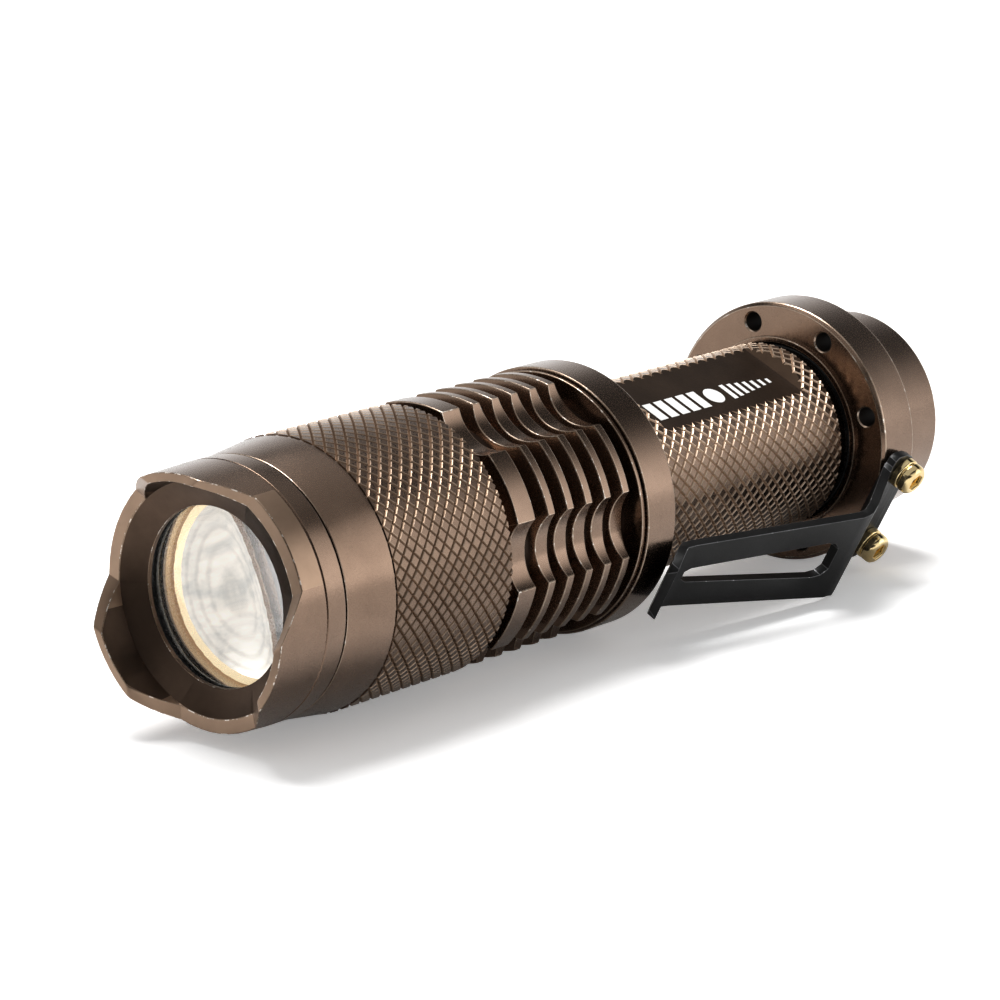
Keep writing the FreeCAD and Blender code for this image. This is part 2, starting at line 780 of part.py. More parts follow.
screws = []
taps = []
clip_holes = []
for side in (1, -1):
    tag = "upper" if side > 0 else "lower"
    head = doc.addObject("Part::Cylinder", "screw_head_" + tag)
    head.setExpression("Radius", spelled("screw_head_r"))
    head.setExpression("Height", spelled("screw_head_h"))
    aim_out(head, "(Dims.clip_plate_out + Dims.clip_gauge + 0.01)", side, "screw_station")
    shank = doc.addObject("Part::Cylinder", "screw_shank_" + tag)
    shank.setExpression("Radius", spelled("screw_shank_r"))
    shank.setExpression("Height", spelled("screw_depth + clip_gauge"))
    aim_out(shank, "(Dims.clip_flat_out - Dims.screw_depth + 0.1)", side, "screw_station")
    socket = doc.addObject("Part::Prism", "screw_socket_" + tag)
    socket.Polygon = 6
    socket.setExpression("Circumradius", spelled("screw_socket_r"))
    socket.setExpression("Height", spelled("screw_socket_depth + 1"))
    aim_out(socket, "(Dims.clip_plate_out + Dims.clip_gauge + Dims.screw_head_h"
            " - Dims.screw_socket_depth)", side, "screw_station")
    whole = doc.addObject("Part::Fuse", "screw_whole_" + tag)
    whole.Base = head
    whole.Tool = shank
    screws.append(cut("screw_" + tag, whole, socket))
    tap = doc.addObject("Part::Cylinder", "screw_tap_" + tag)
    tap.setExpression("Radius", spelled("screw_hole_r"))
    tap.setExpression("Height", spelled("screw_depth + 2"))
    aim_out(tap, "(Dims.clip_flat_out - Dims.screw_depth)", side, "screw_station")
    taps.append(tap)
    hole = doc.addObject("Part::Cylinder", "clip_hole_" + tag)
    hole.setExpression("Radius", spelled("screw_hole_r"))
    hole.setExpression("Height", spelled("clip_gauge + 4"))
    aim_out(hole, "(Dims.clip_flat_out - 2)", side, "screw_station")
    clip_holes.append(hole)
tapped = doc.addObject("Part::MultiFuse", "tapped_holes")
tapped.Shapes = taps
cut("tail_cap_cut", tail, tapped, "tail_cap")
pair = doc.addObject("Part::Compound", "clip_screws_pair")
pair.Label = "clip_screws"
pair.Links = screws

# --- Pocket clip ---------------------------------------------------------------------
# Side profile: flat plate, hump that rises forward, arm that closes in, flared tip.
strip = new_body("clip_strip")
side_view = new_sketch(strip, "clip_side", "XY_Plane", turn="-1 * Dims.clip_roll")
outline(side_view, [
    ("clip_plate_out", "clip_rear"),
    ("clip_plate_out", "clip_bend - 0.5"),
    ("clip_plate_out + 0.22", "clip_bend + 0.4"),
    ("clip_hump_out - 0.62", "clip_hump - 1.2"),
    ("clip_hump_out - 0.12", "clip_hump"),
    ("clip_hump_out - 0.1", "clip_hump + 1.1"),
    ("clip_toe_out + 0.28", "clip_toe - 1.2"),
    ("clip_toe_out + 0.16", "clip_toe"),
    ("clip_toe_out + 0.55", "clip_toe + 1"),
    ("clip_tip_out - 0.2", "clip_tip"),
    ("clip_tip_out + 0.56", "clip_tip - 0.45"),
    ("clip_toe_out + 1.38", "clip_toe + 0.7"),
    ("clip_toe_out + 1.06", "clip_toe"),
    ("clip_toe_out + 1.19", "clip_toe - 1.2"),
    ("clip_hump_out + 0.83", "clip_hump + 1.3"),
    ("clip_hump_out + 0.8", "clip_hump - 0.3"),
    ("clip_hump_out + 0.2", "clip_hump - 1.7"),
    ("clip_plate_out + 1.1", "clip_bend + 0.05"),
    ("clip_plate_out + clip_gauge", "clip_bend - 0.75"),
    ("clip_plate_out + clip_gauge", "clip_rear"),
])
strip_pad = strip.newObject("PartDesign::Pad", "clip_pad")
strip_pad.Profile = side_view
strip_pad.Length = 14.0
strip_pad.setExpression("Length", "2 * Dims.clip_half_ear")
strip_pad.Midplane = True
side_view.Visibility = False
doc.recompute()
# Plan view: the ears are wide, the arm tapers forward, and a long slot lightens it.
plan = new_sketch(strip, "clip_plan", "XY_Plane", turn="90 - Dims.clip_roll")
outline(plan, [
    ("clip_half_ear + 2", "clip_rear - 2"),
    ("clip_half_ear + 2", "clip_tip + 2"),
    ("~clip_half_ear + 2", "clip_tip + 2"),
    ("~clip_half_ear + 2", "clip_rear - 2"),
])
right_side = [
    ("clip_half_ear - 1.9", "clip_rear"),
    ("clip_half_ear - 0.55", "clip_rear + 0.55"),
    ("clip_half_ear", "clip_rear + 1.9"),
    ("clip_half_ear", "clip_ear_front - 1.1"),
    ("clip_half_ear - 0.3", "clip_ear_front - 0.3"),
    ("clip_half_ear - 0.9", "clip_ear_front"),
    ("clip_half_hump", "clip_ear_front + 0.5"),
    ("clip_half_hump", "clip_hump - 0.8"),
    ("clip_half_hump - 0.25", "clip_hump + 0.4"),
    ("clip_half_toe", "clip_toe"),
    ("clip_half_toe", "clip_tip - 1.8"),
    ("clip_half_toe - 0.6", "clip_tip - 0.6"),
    ("clip_half_toe - 1.9", "clip_tip + 0.3"),
]
left_side = [("~" + across, station) for across, station in reversed(right_side)]
outline(plan, right_side + left_side)
slot_right = [
    ("clip_slot_half_rear - 0.9", "clip_slot_rear"),
    ("clip_slot_half_rear - 0.2", "clip_slot_rear + 0.7"),
    ("clip_slot_half_rear", "clip_slot_rear + 1.8"),
    ("clip_slot_half_front", "clip_slot_front - 0.7"),
    ("clip_slot_half_front - 0.4", "clip_slot_front"),
]
slot_left = [("~" + across, station) for across, station in reversed(slot_right)]
outline(plan, slot_right + slot_left)
pocket(strip, plan, "clip_hump_out + 4", "clip_plan_cut", reverse=True)
clip_taps = doc.addObject("Part::MultiFuse", "clip_screw_holes")
clip_taps.Shapes = clip_holes
cut("pocket_clip_cut", strip, clip_taps, "pocket_clip")

# --- Switch --------------------------------------------------------------------------
turned("switch_retainer", [
    ("retainer_bore_r", "retainer_front"),
    ("retainer_r", "retainer_front"),
    ("retainer_r", "retainer_rear"),
    ("retainer_bore_r", "retainer_rear"),
])
rod("switch_board_disc", "board_r", "board_front", "board_rear").Label = "switch_board"
turned("switch_housing", [
    ("housing_bore_r", "housing_front"),
    ("board_r", "housing_front"),
    ("board_r", "housing_rear"),
    ("housing_bore_r", "housing_rear"),
])
turned("switch_plunger", [
    ("plunger_room_r", "plunger_front"),
    ("plunger_r", "plunger_front"),
    ("plunger_r", "plunger_rear"),
    ("0", "plunger_rear"),
    ("0", "plunger_room_rear"),
    ("plunger_room_r", "plunger_room_rear"),
])
turned("switch_boot", [
    ("boot_room_r", "boot_flange_front"),
    ("boot_flange_r", "boot_flange_front"),
    ("boot_flange_r", "boot_flange_rear"),
    ("boot_skirt_r", "boot_flange_rear"),
    ("boot_skirt_r", "boot_shoulder"),
    ("boot_skirt_r - 0.2", "boot_shoulder - 0.3"),
    ("boot_top_r", "boot_top"),
    ("0", "boot_top"),
    ("0", "boot_room_rear"),
    ("boot_room_r", "boot_room_rear"),
])
coil("switch_spring", "click_spring_r", "click_wire_r", "click_pitch",
     "click_spring_front", "click_spring_rear")
coil("tail_spring", "tail_spring_r", "tail_wire_r", "tail_spring_pitch",
     "tail_spring_front", "tail_spring_rear")
doc.recompute()

# --- Check and write -----------------------------------------------------------------
NODES = [
    "bezel_ring", "lens", "lens_o_ring", "lens_spacer", "head_sleeve", "head_wiper_ring",
    "battery_tube", "neck_o_ring", "tail_o_ring",
    "led_pill", "led_board", "led_collar", "led_package", "led_phosphor", "led_dome",
    "led_wires", "driver_board", "driver_coil", "driver_contact",
    "battery_can", "battery_wrap", "battery_button",
    "tail_cap", "pocket_clip", "clip_screws", "switch_retainer", "switch_board",
    "switch_housing", "switch_plunger", "switch_spring", "switch_boot", "tail_spring",
]
for item in doc.Objects:
    if "Invalid" in item.State or "Error" in item.State:
        raise ValueError("%s failed: %s" % (item.Name, item.State))
by_label = {item.Label: item for item in doc.Objects}
for node in NODES:
    shape = by_label[node].Shape
    if shape.isNull() or not shape.isValid() or not shape.Solids:
        raise ValueError("%s has no valid solid" % node)
os.makedirs("parts", exist_ok=True)
for node in NODES:
    shape = by_label[node].Shape
    shape.exportStep("parts/%s.step" % node)
    box = shape.BoundBox
    print("%-16s %2d solid(s) %9.2f mm3  x %.2f..%.2f y %.2f..%.2f z %.2f..%.2f" % (
        node, len(shape.Solids), shape.Volume,
        box.XMin, box.XMax, box.YMin, box.YMax, box.ZMin, box.ZMax))
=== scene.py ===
import math

import bmesh
import bpy
from mathutils import Matrix, Vector


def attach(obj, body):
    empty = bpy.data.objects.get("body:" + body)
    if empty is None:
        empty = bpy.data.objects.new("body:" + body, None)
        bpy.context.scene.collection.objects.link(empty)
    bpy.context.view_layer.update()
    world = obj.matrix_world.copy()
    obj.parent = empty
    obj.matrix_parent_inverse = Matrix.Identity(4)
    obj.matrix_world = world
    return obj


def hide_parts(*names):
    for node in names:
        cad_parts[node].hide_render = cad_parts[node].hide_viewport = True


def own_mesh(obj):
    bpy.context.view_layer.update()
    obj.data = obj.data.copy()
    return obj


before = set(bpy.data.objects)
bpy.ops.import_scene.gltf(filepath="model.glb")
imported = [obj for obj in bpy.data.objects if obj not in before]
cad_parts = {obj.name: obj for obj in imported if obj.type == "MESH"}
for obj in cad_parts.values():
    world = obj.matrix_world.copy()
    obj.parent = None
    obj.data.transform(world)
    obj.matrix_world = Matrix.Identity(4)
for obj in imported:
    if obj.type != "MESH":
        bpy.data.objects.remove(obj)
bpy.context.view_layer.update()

# Zoom pocket flashlight, lying along Y: the lens looks toward -Y and the tail is at +Y.
# A station is a distance in front of the tail rim, in millimetres, so it lies at y = -station.
# A roll is an angle about the axis from +X toward +Z.
MM = 0.001
ROUND = 0.586            # share of a corner that its rounded edge cuts away
CAMERA_LENS = 144.0      # focal length in millimetres
CAMERA_AT = (0.2422, -0.3426, 0.0970)
CAMERA_RIGHT = Vector((0.7608, 0.6490, 0.0))
CAMERA_UP = Vector((-0.1612, 0.1889, 0.9687))

# --- Sizes that the looks share with the CAD model, in millimetres ---------------------
BEZEL_R = 12.35
SEAM = 94.0
CREST_FRONT = 102.0
NOTCH_FLOOR = 99.1
DISH_R = 10.93
NOTCH_HALF_FLOOR = 4.65
NOTCH_SLOPE = 1.2241      # sideways run of a notch's ramp for each millimetre that it climbs
NOTCH_ROLL = math.radians(36.5)
LOBES = 3
BAND_R = 13.1
FIN_ROOT_R = 10.8
FIN_DRAFT = 0.5
FIN_FRONT = 66.5
FIN_PITCH = 2.75
FIN_WIDTH = 0.95
FINS = 5
FLUTES = 6
FLUTE_AT = 15.8           # a flute's own axis, from the flashlight's axis
FLUTE_R = 4.5
FLUTE_ROLL = math.radians(1.0)
PANEL_ROLL = math.radians(65.4)
PANEL_OUT = 8.78
PANEL_FRONT = 42.0
PANEL_REAR = 19.6
CLIP_ROLL = math.radians(-28.0)
CLIP_FLAT = 12.75
SCREW_BASE = 13.68
SCREW_STATION = 11.7
SCREW_SIDE = 4.6
HOLE_R = 1.0
HOLE_AT = 11.8
HOLE_ROLL = math.radians(16.3)
HOLE_STEP = math.radians(45.0)
HOLES = 7
FLOOR_Z = -13.72


def place(radius, roll, station):
    """Point of the flashlight from its radius, roll and station."""
    return Vector((radius * math.cos(roll), -station, radius * math.sin(roll))) * MM


def place_on(roll, out, side, station):
    """Point from its distance out along one roll, its distance sideways and its station."""
    across = Vector((-math.sin(roll), 0, math.cos(roll))) * side
    outward = Vector((math.cos(roll), 0, math.sin(roll))) * out
    return (outward + across + Vector((0, -station, 0))) * MM


# --- Materials --------------------------------------------------------------------------
def add(tree, kind, values=None, **settings):
    """New node with its settings and its input values."""
    made = tree.nodes.new("ShaderNode" + kind)
    for key, value in settings.items():
        setattr(made, key, value)
    for key, value in (values or {}).items():
        made.inputs[key].default_value = value
    return made


def ramp(tree, source, stops):
    """Colour ramp over a value; stops are (position, colour)."""
    made = add(tree, "ValToRGB")
    tree.links.new(source, made.inputs[0])
    elements = made.color_ramp.elements
    while len(elements) < len(stops):
        elements.new(0.5)
    for element, (position, colour) in zip(elements, stops):
        element.position = position
        element.color = (*colour, 1)
    return made


def grey(value):
    """Neutral colour of one brightness."""
    return (value, value, value)


def rings_about_axis(tree, where, values):
    """Wavy rings about the flashlight's axis."""
    wave = add(tree, "TexWave", values, wave_type="RINGS", rings_direction="Y")
    tree.links.new(where, wave.inputs["Vector"])
    return wave.outputs["Fac"]


def mixed(tree, share, low, high):
    """One value faded toward another by a constant share."""
    both = add(tree, "Mix", {"Factor": share}, data_type="FLOAT")
    tree.links.new(low, both.inputs["A"])
    tree.links.new(high, both.inputs["B"])
    return both.outputs["Result"]


def split(tree, where):
    """Separate coordinates of a vector."""
    parts = add(tree, "SeparateXYZ")
    tree.links.new(where, parts.inputs[0])
    return parts.outputs


def painted_glow_arcs(tree, where, colour, share):
    """Painted glow: colour with darker painted arcs about the axis, and painted brighter toward +X where
    the side light falls in.
    """
    wave = rings_about_axis(tree, where, {"Scale": 900.0, "Distortion": 1.1, "Detail": 2.0,
                                          "Detail Scale": 0.9})
    arcs = ramp(tree, wave, [(0.0, grey(0.78)), (0.5, grey(1.0))])
    # painted light: the glow grows brighter toward +X, where the side light falls in
    side = add(tree, "MapRange", {"From Min": -0.0055, "From Max": -0.0025, "To Min": 0.7, "To Max": 3.0})
    tree.links.new(split(tree, where)["X"], side.inputs["Value"])
    shaded = add(tree, "Mix", {"Factor": share}, data_type="RGBA", blend_type="MULTIPLY")
    tree.links.new(colour, shaded.inputs["A"])
    tree.links.new(arcs.outputs[0], shaded.inputs["B"])
    scaled = add(tree, "VectorMath", operation="SCALE")
    tree.links.new(shaded.outputs["Result"], scaled.inputs[0])
    tree.links.new(side.outputs[0], scaled.inputs["Scale"])
    return scaled.outputs[0]


def finish_material(name, light, dark, metallic, rough, grain=9000.0, grain_depth=0.0000020,
                    blotch=260.0, turned=0.0, worn=None, wear=(0.5, 0.62), coat=0.0,
                    coat_rough=0.2, transmission=0.0, ior=1.45, glow=0.0, swirl=0.0, rings=0.0,
                    spread=0.065):
    """Surface with colour blotches and a fine grain.

    turned adds turning lines, rings adds moulding rings, worn is the colour of worn spots, and glow
    is painted light that the surface gives off though it is no lamp, with painted arcs in it when swirl is
    above zero.
    """
    material = bpy.data.materials.new(name)
    material.use_nodes = True
    tree = material.node_tree
    tree.nodes.clear()
    links = tree.links
    out = add(tree, "OutputMaterial")
    shader = add(tree, "BsdfPrincipled", {"Metallic": metallic, "IOR": ior, "Coat Weight": coat,
                                          "Coat Roughness": coat_rough,
                                          "Transmission Weight": transmission})
    links.new(shader.outputs[0], out.inputs[0])
    where = add(tree, "TexCoord").outputs["Object"]
    broad = add(tree, "TexNoise", {"Scale": blotch, "Detail": 4.0, "Roughness": 0.6})
    fine = add(tree, "TexNoise", {"Scale": grain, "Detail": 2.0, "Roughness": 0.55})
    for noise in (broad, fine):
        links.new(where, noise.inputs["Vector"])
    colour = ramp(tree, broad.outputs["Fac"], [(0.32, dark), (0.68, light)]).outputs[0]
    height = fine.outputs["Fac"]
    gloss = ramp(tree, height, [(0.3, grey(rough - spread)), (0.7, grey(rough + spread))])
    if turned:
        lines = add(tree, "TexNoise", {"Scale": 9000.0, "Detail": 3.0}, noise_dimensions="1D")
        links.new(split(tree, where)["Y"], lines.inputs["W"])
        height = mixed(tree, turned, height, lines.outputs["Fac"])
    if rings:
        wave = rings_about_axis(tree, where, {"Scale": 420.0, "Distortion": 2.5, "Detail": 2.0,
                                              "Detail Scale": 0.6})
        height = mixed(tree, rings, height, wave)
    if worn is not None:
        spots = add(tree, "TexNoise", {"Scale": 1300.0, "Detail": 5.0, "Roughness": 0.7})
        links.new(where, spots.inputs["Vector"])
        chip = ramp(tree, spots.outputs["Fac"], [(wear[0], grey(0.0)), (wear[1], grey(1.0))]).outputs[0]
        bare = add(tree, "Mix", data_type="RGBA")
        bare.inputs["B"].default_value = (*worn, 1)
        links.new(chip, bare.inputs["Factor"])
        links.new(colour, bare.inputs["A"])
        colour = bare.outputs["Result"]
    links.new(colour, shader.inputs["Base Color"])
    # painted glow: emission that stands in for light falling on a part that is no lamp
    if glow:
        lit = painted_glow_arcs(tree, where, colour, swirl) if swirl else colour
        links.new(lit, shader.inputs["Emission Color"])
        shader.inputs["Emission Strength"].default_value = glow
    links.new(gloss.outputs[0], shader.inputs["Roughness"])
    bump = add(tree, "Bump", {"Strength": 0.6, "Distance": grain_depth})
    links.new(height, bump.inputs["Height"])
    links.new(bump.outputs[0], shader.inputs["Normal"])
    return material


BROWN = (0.262, 0.176, 0.122)
BROWN_DARK = (0.222, 0.146, 0.099)
BARE = (0.86, 0.80, 0.73)

anodised = finish_material("anodised", BROWN, BROWN_DARK, 1.0, 0.25, turned=0.35, coat=0.9,
                           coat_rough=0.24)
anodised_edge = finish_material("anodised_edge", (0.50, 0.40, 0.32), (0.34, 0.26, 0.20), 1.0, 0.30,
                                worn=BARE, wear=(0.56, 0.64))
anodised_chipped = finish_material("anodised_chipped", (0.38, 0.29, 0.22), (0.26, 0.19, 0.14), 1.0,
                                   0.32, worn=BARE, wear=(0.53, 0.58))
# painted shade: near-black colour for the inside of the cap's holes, in place of the shade that falls
# there
hole_painted_shade = finish_material("hole_painted_shade", (0.030, 0.021, 0.015), (0.018, 0.012, 0.009), 0.3, 0.5)
anodised_faced = finish_material("anodised_faced", (0.37, 0.26, 0.185), (0.31, 0.215, 0.15), 1.0,
                                 0.34, turned=0.5, coat=0.6, coat_rough=0.3)
# painted shade: a near-black copy of the anodised colour for the roots between the fins, where shade falls
slot_painted_shade = finish_material("slot_painted_shade", (0.050, 0.032, 0.022), (0.032, 0.020, 0.014), 1.0, 0.40,
                            turned=0.6, coat=0.15, coat_rough=0.3)
# painted shade: a darker copy of the anodised colour for the crown's inner wall, dish and seats, where
# shade falls
anodised_painted_shade = finish_material("anodised_painted_shade", (0.125, 0.082, 0.056), (0.090, 0.058, 0.039), 1.0,
                                0.36, turned=0.6, coat=0.35, coat_rough=0.3)
anodised_panel = finish_material("anodised_panel", (0.085, 0.058, 0.041), (0.062, 0.042, 0.030), 1.0,
                                 0.46, grain=5000.0, grain_depth=0.000004)
# painted light: the knurls' tops are darker than the body and their groove walls and shoulders paler,
# painted highlight lines in place of light caught in the grooves; the tube's copies are paler than the
# head's, lit and shaded copies of one finish, and the head's shoulders also have worn spots
knurl_top = finish_material("knurl_top", (0.215, 0.144, 0.099), (0.180, 0.118, 0.080), 1.0, 0.30,
                            grain=6000.0, grain_depth=0.000003, coat=0.8, coat_rough=0.3)
head_groove_painted_highlight = finish_material("head_groove_painted_highlight", (0.30, 0.215, 0.155), (0.22, 0.155, 0.11), 1.0, 0.46)
head_line_worn_and_painted_highlight = finish_material("head_line_worn_and_painted_highlight", (0.52, 0.41, 0.32), (0.36, 0.275, 0.21), 1.0, 0.44,
                            worn=BARE, wear=(0.62, 0.72))
tube_groove_painted_highlight = finish_material("tube_groove_painted_highlight", (0.56, 0.43, 0.33), (0.42, 0.315, 0.235), 1.0, 0.48)
tube_line_painted_highlight = finish_material("tube_line_painted_highlight", (0.78, 0.65, 0.53), (0.60, 0.48, 0.38), 1.0, 0.46)
bare_aluminium = finish_material("bare_aluminium", (0.78, 0.78, 0.79), (0.62, 0.62, 0.64), 1.0, 0.30,
                                 turned=0.7)
rubber = finish_material("rubber", (0.030, 0.030, 0.031), (0.014, 0.014, 0.015), 0.0, 0.55,
                         grain=5000.0, grain_depth=0.00001)
seal_rubber = finish_material("seal_rubber", (0.012, 0.012, 0.012), (0.006, 0.006, 0.006), 0.0, 0.24,
                              grain=3500.0, grain_depth=0.00002)
black_plastic = finish_material("black_plastic", (0.035, 0.035, 0.036), (0.02, 0.02, 0.021), 0.0, 0.42,
                                grain=6000.0, grain_depth=0.000006)
# painted glow: the LED's collar and package give off light though the LED is off, in place of light that
# reaches them through the lens
white_plastic = finish_material("white_plastic", (0.48, 0.45, 0.41), (0.33, 0.32, 0.30), 0.0, 0.38,
                                blotch=1400.0, glow=2.0, swirl=0.9)
# painted glow: the LED pill and the driver's contact give off light though they are no lamp, in place of
# light that reaches them through the lens
brass_painted_glow = finish_material("brass_painted_glow", (0.86, 0.76, 0.56), (0.76, 0.64, 0.43), 1.0, 0.24, turned=0.6,
                        glow=1.0)
screw_brass = finish_material("screw_brass", (0.93, 0.78, 0.47), (0.80, 0.62, 0.33), 1.0, 0.13,
                              grain=7000.0, grain_depth=0.000001)
clip_paint = finish_material("clip_paint", (0.010, 0.010, 0.0102), (0.005, 0.005, 0.0052), 0.0, 0.36,
                             grain=7000.0, grain_depth=0.000004)
clip_edge = finish_material("clip_edge", (0.16, 0.16, 0.165), (0.07, 0.07, 0.072), 0.6, 0.32,
                            worn=(0.75, 0.75, 0.76), wear=(0.60, 0.70))
# painted glow: the LED board gives off light though it is no lamp, in place of light that reaches it
# through the lens
board_white_painted_glow = finish_material("board_white_painted_glow", (0.48, 0.45, 0.41), (0.33, 0.32, 0.30), 0.0, 0.30,
                              blotch=1400.0, glow=2.0, swirl=0.9)
board_green = finish_material("board_green", (0.03, 0.20, 0.07), (0.015, 0.12, 0.04), 0.0, 0.35,
                              blotch=900.0)
phosphor = finish_material("phosphor", (0.95, 0.78, 0.12), (0.85, 0.62, 0.06), 0.0, 0.5)
wire_red = finish_material("wire_red", (0.55, 0.03, 0.02), (0.40, 0.02, 0.015), 0.0, 0.4)
copper = finish_material("copper", (0.72, 0.33, 0.16), (0.50, 0.20, 0.09), 1.0, 0.3, turned=0.9)
nickel = finish_material("nickel", (0.80, 0.79, 0.76), (0.66, 0.65, 0.62), 1.0, 0.22)
cell_film = finish_material("cell_film", (0.06, 0.18, 0.42), (0.04, 0.13, 0.32), 0.0, 0.28, coat=0.4)
spring_wire = finish_material("spring_wire", (0.70, 0.70, 0.70), (0.52, 0.52, 0.53), 1.0, 0.25)
print_white = finish_material("print_white", (0.88, 0.88, 0.87), (0.78, 0.78, 0.76), 0.0, 0.5,
                              grain=9000.0, grain_depth=0.000004)
lens_clear = finish_material("lens_clear", (0.99, 0.99, 0.985), (0.985, 0.985, 0.98), 0.0, 0.012,
                             grain=320.0, grain_depth=0.0000006, transmission=1.0, ior=1.49, rings=0.6,
                             spread=0.01)
gel_clear = finish_material("gel_clear", (0.98, 0.98, 0.96), (0.97, 0.97, 0.95), 0.0, 0.06,
                            grain=900.0, grain_depth=0.000001, transmission=1.0, ior=1.41, spread=0.02)


# --- Mesh helpers -----------------------------------------------------------------------
def soften(corners):
    """Rows of a closed section with its marked corners rounded.

    A corner is (radius, station, edge width); a width below zero rounds it without wear.
    A row is (radius, station, worn), and "worn" belongs to the strip from this row to the next.
    A row just outside each rounded edge keeps the shading of the wide faces flat.
    """
    rows = []
    for i, (radius, station, width) in enumerate(corners):
        if width == 0:
            rows.append((radius, station, False))
            continue
        here = Vector((radius, station))
        back = Vector(corners[i - 1][:2]) - here
        ahead = Vector(corners[(i + 1) % len(corners)][:2]) - here

        def along(way, distance, share):
            return here + way.normalized() * min(distance, share * way.length)

        reach = abs(width)
        start = along(back, reach, 0.40)
        end = along(ahead, reach, 0.40)
        middle = here.lerp((start + end) / 2, ROUND)
        hold = reach + 0.05
        points = [along(back, hold, 0.47), start, middle, end, along(ahead, hold, 0.47)]
        rows += [(point.x, point.y, width > 0 and 0 < k < 3) for k, point in enumerate(points)]
    return rows


def even_roll(steps):
    """Roll of a column, the same at every radius, when the columns are spread evenly."""
    return lambda column, radius: column * math.tau / steps


def skin(mesh, columns, section, roll_of, put=place, tone=None):
    """Closed skin over sections that may change from column to column; tone picks a face's slot."""
    rings = []
    for column in columns:
        rows = soften(section(column))
        rings.append([mesh.verts.new(put(r, roll_of(column, r), s)) for r, s, _ in rows])
    rows = soften(section(columns[0]))
    for c, ring in enumerate(rings):
        after = rings[(c + 1) % len(rings)]
        for k, (radius, station, on_edge) in enumerate(rows):
            n = (k + 1) % len(rows)
            face = mesh.faces.new((ring[k], ring[n], after[n], after[k]))
            face.material_index = 1 if on_edge else 0
            if tone:
                where = (columns[c], (radius + rows[n][0]) / 2, (station + rows[n][1]) / 2)
                face.material_index = tone(*where, face.material_index)
    bmesh.ops.remove_doubles(mesh, verts=mesh.verts, dist=1e-7)


def new_object(name, mesh, materials):
    """Object in the scene from a bmesh, which is freed."""
    data = bpy.data.meshes.new(name)
    mesh.to_mesh(data)
    mesh.free()
    for material in materials:
        data.materials.append(material)
    made = bpy.data.objects.new(name, data)
    bpy.context.scene.collection.objects.link(made)
    return made


def make(name, mesh, materials, body, replaces=(), sharp=30.0):
    """Turn a bmesh into a named piece that rides on a body."""
    bmesh.ops.recalc_face_normals(mesh, faces=mesh.faces)
    piece = new_object(name, mesh, materials)
    smooth(piece, sharp)
    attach(piece, body)
    if replaces:
        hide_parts(*replaces)
    return piece


def smooth(piece, sharp=30.0):
    """Smooth shading with the sharp edges kept."""
    piece.data.polygons.foreach_set("use_smooth", [True] * len(piece.data.polygons))
    piece.data.set_sharp_from_angle(angle=math.radians(sharp))


def turned_piece(name, corners, materials, body, replaces=(), steps=160, sharp=30.0):
    """Piece turned about the flashlight's axis from one closed section."""
    mesh = bmesh.new()
    skin(mesh, range(steps), lambda column: corners, even_roll(steps))
    return make(name, mesh, materials, body, replaces, sharp)


def carve(piece, cutters, sharp=30.0):
    """Cut tools out of a piece and keep the result as its mesh."""
    for cutter in cutters:
        cut = piece.modifiers.new("Cut", "BOOLEAN")
        cut.operation = "DIFFERENCE"
        cut.solver = "EXACT"
        cut.material_mode = "TRANSFER"
        cut.object = cutter
    bpy.context.view_layer.update()
    graph = bpy.context.evaluated_depsgraph_get()
    piece.data = bpy.data.meshes.new_from_object(piece.evaluated_get(graph))
    piece.modifiers.clear()
    for cutter in cutters:
        bpy.data.objects.remove(cutter)
    smooth(piece, sharp)


def tool(name, mesh, materials):
    """Cutting tool: an object that carve removes again."""
    bmesh.ops.recalc_face_normals(mesh, faces=mesh.faces)
    return new_object(name, mesh, materials)


def prism(mesh, outline, offset):
    """Solid between an outline and its copy moved by an offset."""
    low = [mesh.verts.new(point) for point in outline]
    high = [mesh.verts.new(point + offset) for point in outline]
    mesh.faces.new(low)
    mesh.faces.new(high[::-1])
    for i in range(len(outline)):
        n = (i + 1) % len(outline)
        mesh.faces.new((low[i], high[i], high[n], low[n]))


# --- Knurls -----------------------------------------------------------------------------
GROOVE = 0.24            # share of a diamond that its groove wall takes
SHOULDER = 0.10          # share that its shoulder takes, painted lighter as a painted highlight
SHOULDER_DROP = 0.05     # fall of that shoulder, in millimetres


def knurl_diamonds(mesh, root, crest, front, rear, around, pitch):
    """Flat-topped diamonds, in a net that starts and ends a pitch beyond the front and the rear."""
    crossings = {}
    turn = math.pi / around
    start = front + pitch

    def crossing(i, j):
        key = (i % (2 * around), j)
        if key not in crossings:
            crossings[key] = mesh.verts.new(place(root, key[0] * turn, start - j * pitch / 2))
        return crossings[key]

    corners = [(-1, 0), (0, -1), (1, 0), (0, 1)]
    levels = [(1 - GROOVE, crest - SHOULDER_DROP), (1 - GROOVE - SHOULDER, crest)]
    rows = int((front - rear + 2 * pitch) / (pitch / 2)) + 1
    for j in range(1, rows):
        for i in range(2 * around):
            if (i + j) % 2:
                continue
            rims = [[crossing(i + a, j + b) for a, b in corners]]
            for share, radius in levels:
                rims.append([mesh.verts.new(place(radius, (i + a * share) * turn,
                                                  start - (j + b * share) * pitch / 2))
                             for a, b in corners])
            for level in (0, 1):
                low, high = rims[level], rims[level + 1]
                for k in range(4):
                    n = (k + 1) % 4
                    face = mesh.faces.new((low[k], low[n], high[n], high[k]))
                    face.material_index = 2 - level
            mesh.faces.new(rims[2])


